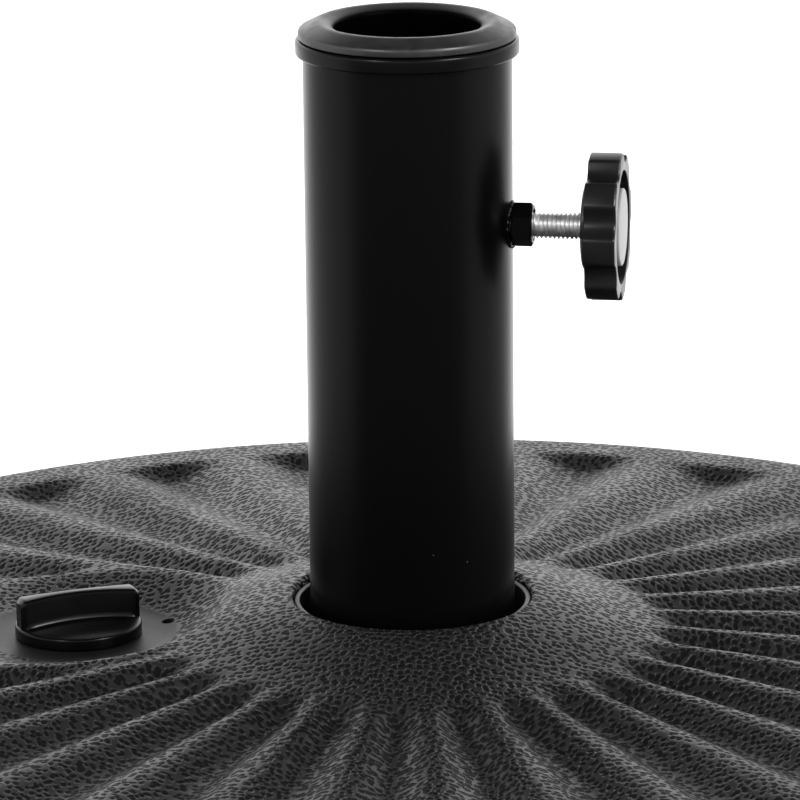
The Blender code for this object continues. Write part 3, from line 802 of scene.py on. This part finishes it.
def build_seal(material):
    """Rubber ring with rounded edges under the cap's flange."""
    outer = CAP_RADIUS - CAP_RIM_WALL - GAP
    inner = NECK_BORE + GAP
    outline = [
        (inner, SEAL_LOW.z, 0.4 * MM),
        (outer, SEAL_LOW.z, 0.4 * MM),
        (outer, SEAL_HIGH.z, 0.4 * MM),
        (inner, SEAL_HIGH.z, 0.4 * MM),
    ]
    ring = turned("seal_ring", outline, 96, where=Matrix.Translation(FILL_CENTRE))
    return dress(ring, "seal", material, "cap_seal")


# ---------------------------------------------------------------- tube

def build_tube(material):
    """Painted steel tube with the clamp screw's hole."""
    inner = TUBE_RADIUS - TUBE_WALL
    outline = [
        (inner, TUBE_BOTTOM, 0.2 * MM),
        (TUBE_RADIUS, TUBE_BOTTOM, 0.3 * MM),
        (TUBE_RADIUS, TUBE_TOP, 0.3 * MM),
        (inner, TUBE_TOP, 0.2 * MM),
    ]
    tube = turned("painted_tube", outline, 192)
    hole = np.array([(CLAMP_HOLE_RADIUS, inner - 5 * MM), (CLAMP_HOLE_RADIUS, TUBE_RADIUS + 5 * MM)])
    carve(tube, skin("clamp_hole", around(hole, 48), where=along_x()))
    reshade(tube)
    return dress(tube, "base", material, "pole_tube")


def build_collar(material):
    """Ring pressed over the tube's top edge."""
    bore = TUBE_RADIUS + GAP
    lip_bottom = TUBE_TOP + GAP
    lip_bore = TUBE_RADIUS - TUBE_WALL + GAP
    outline = [
        (bore, COLLAR_BOTTOM, 0.2 * MM),
        (COLLAR_RADIUS, COLLAR_BOTTOM, 0.8 * MM),
        (COLLAR_RADIUS, COLLAR_TOP, 1.1 * MM),
        (lip_bore, COLLAR_TOP, 0.2 * MM),
        (lip_bore, lip_bottom, 0.2 * MM),
        (bore, lip_bottom, 0.2 * MM),
    ]
    return dress(turned("collar_ring", outline, 192), "base", material, "tube_collar")


def build_reducer(material):
    """Reducer: domed flange, plug and finned sleeve."""
    plug_radius = TUBE_RADIUS - TUBE_WALL - GAP
    bottom = COLLAR_TOP + GAP
    plug_bottom = TUBE_TOP - 4 * MM
    sleeve = REDUCER_BORE + 2.2 * MM
    outline = [
        (REDUCER_RADIUS, bottom, 0.3 * MM),
        (REDUCER_RADIUS, bottom + 2.2 * MM, 0.9 * MM),
        (REDUCER_CREST, REDUCER_TOP, 1.4 * MM),
        (REDUCER_BORE, REDUCER_TOP - REDUCER_MOUTH_DROP, 1 * MM),
        (REDUCER_BORE, REDUCER_SLEEVE_END, 0.5 * MM),
        (sleeve, REDUCER_SLEEVE_END, 0.5 * MM),
        (sleeve, plug_bottom, 0.3 * MM),
        (plug_radius, plug_bottom, 0.5 * MM),
        (plug_radius, bottom, 0.2 * MM),
    ]
    ring = turned("mouth_reducer", outline, 192)
    for fin in range(REDUCER_FINS):
        add_fin(ring, fin, sleeve - 1.2 * MM, plug_radius - 0.2 * MM, plug_bottom)
    reshade(ring)
    return dress(ring, "reducer", material, "reducer_ring")


def add_fin(ring, fin, root, tip, top):
    """One upright fin on the reducer's sleeve, with a slanted lower end."""
    half = 0.9 * MM
    low = REDUCER_SLEEVE_END + MM
    outline = [(root, low), (tip, low + 3 * MM), (tip, top + MM), (root, top + MM)]
    rings = [[(x, side, z) for x, z in outline] for side in (-half, half)]
    turn = Matrix.Rotation(FULL_TURN * (fin + 0.5) / REDUCER_FINS, 4, "Z")
    carve(ring, skin(f"fin_{fin}", rings, where=turn), "UNION")


def build_end_plate(material):
    """Steel disc welded under the tube."""
    low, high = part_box("tube_end_plate")
    outline = [
        (BOLT_HOLE_RADIUS, low.z, 0.3 * MM),
        (high.x, low.z, 0.4 * MM),
        (high.x, high.z, 0.4 * MM),
        (BOLT_HOLE_RADIUS, high.z, 0.3 * MM),
    ]
    return dress(turned("end_disc", outline, 128), "base", material, "tube_end_plate")


# ---------------------------------------------------------------- fasteners

def nut_rings(flats, bore, start, end, steps=96):
    """A hex nut: chamfered bore, flat faces, and corners cut back by a shallow cone."""
    middle = (start + end) / 2
    drop = 0.9 * MM
    heights = [start, start + drop / 3, start + 2 * drop / 3, start + drop, middle]
    heights += [end - drop, end - 2 * drop / 3, end - drop / 3, end]
    angles = FULL_TURN * np.arange(steps) / steps
    rings = []
    for height in heights:
        depth = min(height - start, end - height)
        cone = flats / 2 * 0.97 + depth * np.sqrt(3)
        radius = np.minimum(hex_radius(flats, angles), cone)
        rings.append(ring_points(radius, angles, height))
    lead = 0.7 * MM
    inside = [(bore + lead, end), (bore, end - lead), (bore, start + lead), (bore + lead, start)]
    return np.concatenate([np.array(rings), around(inside, steps)])


def build_clamp_nut(material):
    """Hex nut welded to the tube."""
    rings = nut_rings(NUT_FLATS, M8_RADIUS + NUT_CLEARANCE, NUT_START, NUT_END)
    nut = skin("welded_nut", rings, looped=True, where=along_x(), sharp=25)
    return dress(nut, "base", material, "clamp_nut")


def build_weld(material):
    """Lumpy bead around the foot of the nut, laid on the tube's round wall."""
    steps = 160
    section = 12
    rng = np.random.default_rng(7)
    waves = [(count, rng.uniform(0, FULL_TURN), rng.uniform(0.3, 1)) for count in (3, 5, 8, 13, 21)]
    angles = FULL_TURN * np.arange(steps) / steps
    lumps = sum(size * np.sin(count * angles + shift) for count, shift, size in waves) / 3
    bead = (0.85 + 0.4 * lumps) * MM
    distance = NUT_FLATS / 2 + 0.5 * MM + 0.3 * MM * np.roll(lumps, 17)
    up = distance * np.cos(angles)
    side = distance * np.sin(angles)
    foot = np.sqrt(TUBE_RADIUS ** 2 - side ** 2)
    rings = []
    for step in range(section):
        turn = FULL_TURN * step / section
        out = bead * np.cos(turn)
        lift = bead * 0.8 * np.sin(turn)
        rings.append(np.stack([
            foot + lift,
            side + out * np.sin(angles),
            CLAMP_HEIGHT + up + out * np.cos(angles),
        ], -1))
    weld = skin("nut_weld", rings, looped=True, sharp=80)
    return dress(weld, "base", material)


def thread_rings(radius, pitch, start, end, steps=48, per_pitch=8):
    """A rolled V thread from start to end, with a chamfer at its start."""
    count = int(round((end - start) / pitch * per_pitch)) + 1
    heights = np.linspace(start, end, count)
    angles = FULL_TURN * np.arange(steps) / steps
    depth = 0.58 * pitch
    turn = np.mod(heights[:, None] / pitch - angles[None, :] / FULL_TURN, 1)
    crest = np.clip(np.abs(turn - 0.5) * 2.6 - 0.3, 0, 1)
    reach = radius - depth * (1 - crest)
    chamfer = radius - depth + (heights[:, None] - start) * 1.0
    reach = np.minimum(reach, chamfer)
    return ring_points(reach, angles, heights[:, None])


def bolt_rings(shank, flats, low, high, steps=48):
    """Carries a threaded shank on into a chamfered hex head."""
    angles = FULL_TURN * np.arange(steps) / steps
    rings = [shank]
    for height, limit in (
        (low, flats / 2 * 0.97),
        (low + 0.3 * MM, flats),
        (high - 1.2 * MM, flats),
        (high - 0.6 * MM, flats / 2 * 1.08),
        (high, flats / 2 * 0.94),
        (high, flats / 4),
    ):
        radius = np.minimum(hex_radius(flats, angles), limit)
        rings.append(ring_points(radius, angles, height)[None])
    return np.concatenate(rings)


def build_clamp_screw(material):
    """M8 zinc-plated screw; its hex head sits inside the knob."""
    shank = thread_rings(M8_RADIUS, M8_PITCH, SCREW_TIP, HEAD_START)
    rings = bolt_rings(shank, HEAD_FLATS, HEAD_START, HEAD_END)
    screw = skin("clamp_screw", rings, where=along_x(KNOB_TURN), sharp=25)
    return dress(screw, "knob", material, "clamp_bolt")


def build_pad(material):
    """Swivel tip that presses on the pole."""
    low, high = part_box("clamp_pad")
    radius = high.y
    bore = M8_RADIUS + GAP
    bore_end = SCREW_TIP - GAP
    outline = soften([
        (1 * MM, low.x, 0),
        (radius, low.x, 0.9 * MM),
        (radius, low.x + 2.6 * MM, 0.5 * MM),
        (radius - 1 * MM, low.x + 3.1 * MM, 0.4 * MM),
        (radius - 1 * MM, high.x, 0.4 * MM),
        (bore, high.x, 0.2 * MM),
        (bore, bore_end, 0.3 * MM),
        (1 * MM, bore_end, 0),
    ])
    pad = skin("swivel_pad", around(outline, 64), where=along_x())
    return dress(pad, "pad", material, "clamp_pad")


def build_centre_fasteners(zinc, black):
    """Bolt, washers and nut that hold the tube's end plate to the shell."""
    washer_low, washer_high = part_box("centre_washer")
    outline = [
        (WASHER_BORE, washer_low.z, 0.3 * MM),
        (washer_high.x, washer_low.z, 0.4 * MM),
        (washer_high.x, washer_high.z, 0.7 * MM),
        (WASHER_BORE, washer_high.z, 0.3 * MM),
    ]
    dress(turned("plain_washer", outline, 96), "base", zinc, "centre_washer")
    lock_low, lock_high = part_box("centre_lock_washer")
    profile = soften([
        (WASHER_BORE, lock_low.z, 0.2 * MM),
        (lock_high.x - 0.02 * MM, lock_low.z, 0.2 * MM),
        (lock_high.x - 0.02 * MM, lock_high.z, 0.2 * MM),
        (WASHER_BORE, lock_high.z, 0.2 * MM),
    ])
    half_split = 0.12
    rings = []
    for angle in np.linspace(half_split, FULL_TURN - half_split, 65):
        rings.append(ring_points(profile[:, 0], angle, profile[:, 1]))
    dress(skin("split_washer", rings), "base", zinc, "centre_lock_washer")
    bolt_low, bolt_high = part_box("centre_bolt")
    head_top = bolt_low.z + M10_HEAD
    shank = thread_rings(M10_RADIUS, M10_PITCH, 0, bolt_high.z - head_top)
    rings = bolt_rings(shank, M10_FLATS, bolt_high.z - head_top, bolt_high.z - bolt_low.z)
    flip = Matrix.Translation((0, 0, bolt_high.z)) @ Matrix.Rotation(np.pi, 4, "X")
    dress(skin("hold_down_bolt", rings, where=flip, sharp=25), "base", zinc, "centre_bolt")
    nut_low, nut_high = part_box("end_plate_nut")
    rings = nut_rings(M10_FLATS, M10_RADIUS + NUT_CLEARANCE, nut_low.z, nut_high.z)
    dress(skin("plate_nut", rings, looped=True, sharp=25), "base", black, "end_plate_nut")


# ---------------------------------------------------------------- knob

def knob_reach(angles, soft=0.5 * MM):
    """Radius of the knob's round outline with its scallops; soft rounds the edges between them."""
    pitch = FULL_TURN / KNOB_LOBES
    from_hollow = np.mod(angles, pitch) - pitch / 2
    share = from_hollow / KNOB_SCALLOP_HALF_ANGLE
    scallop = KNOB_RADIUS - KNOB_SCALLOP_DEPTH * (1 - share ** 2)
    return soft_min(np.full_like(scallop, KNOB_RADIUS), scallop, soft)


def build_knob(material):
    """Eight-lobed moulded knob: boss behind, deep recess in front and a hex pocket for the screw's head."""
    steps = KNOB_LOBES * 32
    angles = FULL_TURN * np.arange(steps) / steps
    lobed = knob_reach(angles)
    recess_floor = KNOB_FRONT - KNOB_RECESS_DEPTH
    pocket = hex_radius(HEAD_FLATS + 2 * GAP, angles)
    pocket_floor = KNOB_BOSS_BACK + 1.5 * MM
    bore = M8_RADIUS + GAP
    rows = [
        (bore, pocket_floor),
        (bore, KNOB_BOSS_BACK + 0.3 * MM),
        (bore + 0.3 * MM, KNOB_BOSS_BACK),
        (KNOB_BOSS_RADIUS - 0.6 * MM, KNOB_BOSS_BACK),
        (KNOB_BOSS_RADIUS - 0.15 * MM, KNOB_BOSS_BACK + 0.15 * MM),
        (KNOB_BOSS_RADIUS, KNOB_BOSS_BACK + 0.6 * MM),
        (KNOB_BOSS_RADIUS, KNOB_BACK - 0.15 * MM),
        (KNOB_BOSS_RADIUS + 0.2 * MM, KNOB_BACK),
        (lobed - 0.7 * MM, KNOB_BACK),
        (lobed - 0.3 * MM, KNOB_BACK + 0.08 * MM),
        (lobed - 0.06 * MM, KNOB_BACK + 0.32 * MM),
        (lobed, KNOB_BACK + 0.7 * MM),
        (lobed, KNOB_FRONT - 1 * MM),
        (lobed - 0.08 * MM, KNOB_FRONT - 0.45 * MM),
        (lobed - 0.35 * MM, KNOB_FRONT - 0.1 * MM),
        (lobed - 0.75 * MM, KNOB_FRONT),
        (KNOB_RECESS_RADIUS + 0.4 * MM, KNOB_FRONT),
        (KNOB_RECESS_RADIUS + 0.08 * MM, KNOB_FRONT - 0.12 * MM),
        (KNOB_RECESS_RADIUS, KNOB_FRONT - 0.45 * MM),
        (KNOB_RECESS_RADIUS - 0.1 * MM, recess_floor + 0.6 * MM),
        (KNOB_RECESS_RADIUS - 0.3 * MM, recess_floor + 0.15 * MM),
        (KNOB_RECESS_RADIUS - 0.8 * MM, recess_floor),
        (pocket + 0.2 * MM, recess_floor),
        (pocket, recess_floor - 0.2 * MM),
        (pocket, pocket_floor),
    ]
    rings = [ring_points(radius, angles, height) for radius, height in rows]
    knob = skin("lobed_knob", rings, looped=True, where=along_x(KNOB_TURN), sharp=32)
    return dress(knob, "knob", material, "knob_body")


def build_knob_disc(material):
    """Grey disc pressed into the knob's recess."""
    low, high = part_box("knob_cap")
    outline = soften([
        (1 * MM, low.x, 0),
        (high.y, low.x, 0.2 * MM),
        (high.y, high.x, 0.7 * MM),
        (1 * MM, high.x, 0),
    ])
    disc = skin("knob_disc", around(outline, 96), where=along_x())
    return dress(disc, "knob", material, "knob_cap")


# ---------------------------------------------------------------- studio

def add_camera():
    """A long lens in front of the base and a little above it."""
    camera = bpy.data.objects.new("camera", bpy.data.cameras.new("camera"))
    bpy.context.scene.collection.objects.link(camera)
    ahead = Vector((
        np.sin(CAMERA_YAW) * np.cos(CAMERA_PITCH),
        np.cos(CAMERA_YAW) * np.cos(CAMERA_PITCH),
        -np.sin(CAMERA_PITCH),
    ))
    level = Vector((np.cos(CAMERA_YAW), -np.sin(CAMERA_YAW), 0))
    upward = level.cross(ahead)
    right = np.cos(CAMERA_ROLL) * level - np.sin(CAMERA_ROLL) * upward
    up = np.sin(CAMERA_ROLL) * level + np.cos(CAMERA_ROLL) * upward
    facing = Matrix((right, up, -ahead)).transposed().to_4x4()
    turn = Matrix.Rotation(CAMERA_AZIMUTH, 4, "Z")
    camera.matrix_world = Matrix.Translation(CAMERA_PLACE) @ turn @ facing
    camera.data.sensor_width = SENSOR_WIDTH
    camera.data.lens = LENS
    camera.data.clip_end = VIEW_DEPTH
    bpy.context.scene.camera = camera


def add_floor():
    """Pale floor, lit from behind by a light of its own so that it stays near white."""
    mesh = bpy.data.meshes.new("floor")
    half = FLOOR_SIZE / 2
    corners = [(-half, -half), (half, -half), (half, half), (-half, half)]
    mesh.from_pydata([(x, y, -FLOOR_DROP) for x, y in corners], [], [(0, 1, 2, 3)])
    floor = bpy.data.objects.new("floor", mesh)
    bpy.context.scene.collection.objects.link(floor)
    mesh.materials.append(floor_material())
    floor.visible_glossy = False
    lit = bpy.data.collections.new("lit_by_floor_light")
    lit.objects.link(floor)
    sun = bpy.data.objects.new("floor_light", bpy.data.lights.new("floor_light", "SUN"))
    bpy.context.scene.collection.objects.link(sun)
    sun.data.energy = FLOOR_LIGHT_ENERGY
    sun.data.angle = FLOOR_LIGHT_ANGLE
    sun.matrix_world = TOWARD_FLOOR_LIGHT.to_track_quat("Z", "Y").to_matrix().to_4x4()
    sun.light_linking.receiver_collection = lit


def add_softbox(name, place, size, power):
    """A small square soft light that faces the base."""
    light = bpy.data.objects.new(name, bpy.data.lights.new(name, "AREA"))
    bpy.context.scene.collection.objects.link(light)
    light.data.size = size
    light.data.energy = power
    facing = (Vector(place) - Vector(SOFTBOX_TARGET)).to_track_quat("Z", "Y").to_matrix().to_4x4()
    light.matrix_world = Matrix.Translation(place) @ facing


def add_world():
    """Surroundings: a bright sweep behind, a lit wall in front, and dim above and below them."""
    world = bpy.data.worlds.new("studio")
    bpy.context.scene.world = world
    world.use_nodes = True
    tree = world.node_tree
    background = tree.nodes["Background"]
    direction = tree.nodes.new("ShaderNodeTexCoord").outputs["Generated"]
    behind = (float(-np.sin(CAMERA_AZIMUTH)), float(np.cos(CAMERA_AZIMUTH)), 0)
    rightward = (float(np.cos(CAMERA_AZIMUTH)), float(np.sin(CAMERA_AZIMUTH)), 0)
    toward = vector_sums(tree, "DOT_PRODUCT", direction, behind, output="Value")
    aside = vector_sums(tree, "DOT_PRODUCT", direction, rightward, output="Value")
    height = node(tree, "ShaderNodeSeparateXYZ", {0: direction}).outputs["Z"]
    # the sweep is brightest straight behind, greyer toward its ends, and reaches round both sides
    wrapped = sums(tree, "MULTIPLY_ADD", sums(tree, "ABSOLUTE", aside), SWEEP_WRAP, toward)
    rear = ramp(tree, wrapped, *SWEEP_EDGE)
    # 1.0001 keeps the level part of a direction above zero straight up
    level_reach = sums(tree, "SQRT", sums(tree, "SUBTRACT", 1.0001, sums(tree, "MULTIPLY", height, height)))
    bearing = sums(tree, "DIVIDE", toward, level_reach)
    beyond = sums(tree, "MULTIPLY_ADD", aside, SWEEP_ENDS_TILT, SWEEP_ENDS)
    fade_start, fade_end = SWEEP_FADE
    fade = {"Value": bearing, "From Min": fade_start, "From Max": fade_end, "To Min": beyond, "To Max": 1.0}
    ends = node(tree, "ShaderNodeMapRange", fade).outputs["Result"]
    rear = sums(tree, "MULTIPLY", rear, ends)
    low = ramp(tree, height, *SWEEP_TOP, SWEEP_LEVEL, OVERHEAD_LEVEL)
    wall = ramp(tree, height, *FRONT_WALL_FOOT, FRONT_FLOOR_LEVEL, FRONT_WALL_LEVEL)
    above = ramp(tree, height, *FRONT_WALL_TOP, 0.0, FRONT_WALL_LEVEL - OVERHEAD_LEVEL)
    front = sums(tree, "SUBTRACT", wall, above)
    sweep = sums(tree, "MULTIPLY", rear, sums(tree, "SUBTRACT", low, front))
    level = sums(tree, "ADD", front, sweep)
    tree.links.new(grey(tree, level), background.inputs["Color"])
    background.inputs["Strength"].default_value = 1.0


def add_studio():
    add_camera()
    add_floor()
    add_world()
    add_softbox("front_right_box", (1.1, -0.62, 1.1), size=0.09, power=16)
    add_softbox("front_left_box", (-0.6, -1.2, 1.1), size=0.07, power=7)
    bpy.context.scene.view_settings.view_transform = "Standard"


def main():
    add_studio()
    shell_plastic = shell_material()
    satin_black = moulded_material("satin_black_plastic", 0.0015, 0.3, level=0.18)
    knob_black = moulded_material("knob_plastic", 0.006, 0.36, grain=0.03, level=0.3)
    liner_black = moulded_material("liner_plastic", 0.012, 0.45)
    reducer_black = reducer_material()
    disc_grey = moulded_material("disc_grey_plastic", 0.27, 0.45)
    rubber = moulded_material("seal_rubber", 0.012, 0.8, grain=0.03)
    paint = painted_material()
    zinc = zinc_material()
    mortar = mortar_material()
    build_shell(shell_plastic)
    build_sleeve(liner_black)
    build_cap(satin_black)
    build_seal(rubber)
    build_tube(paint)
    build_collar(satin_black)
    build_reducer(reducer_black)
    build_end_plate(paint)
    build_clamp_nut(paint)
    build_weld(paint)
    build_clamp_screw(zinc)
    build_pad(satin_black)
    build_knob(knob_black)
    build_knob_disc(disc_grey)
    build_centre_fasteners(zinc, paint)
    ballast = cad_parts["ballast_fill"]
    for slot in ballast.material_slots:
        slot.material = mortar


main()
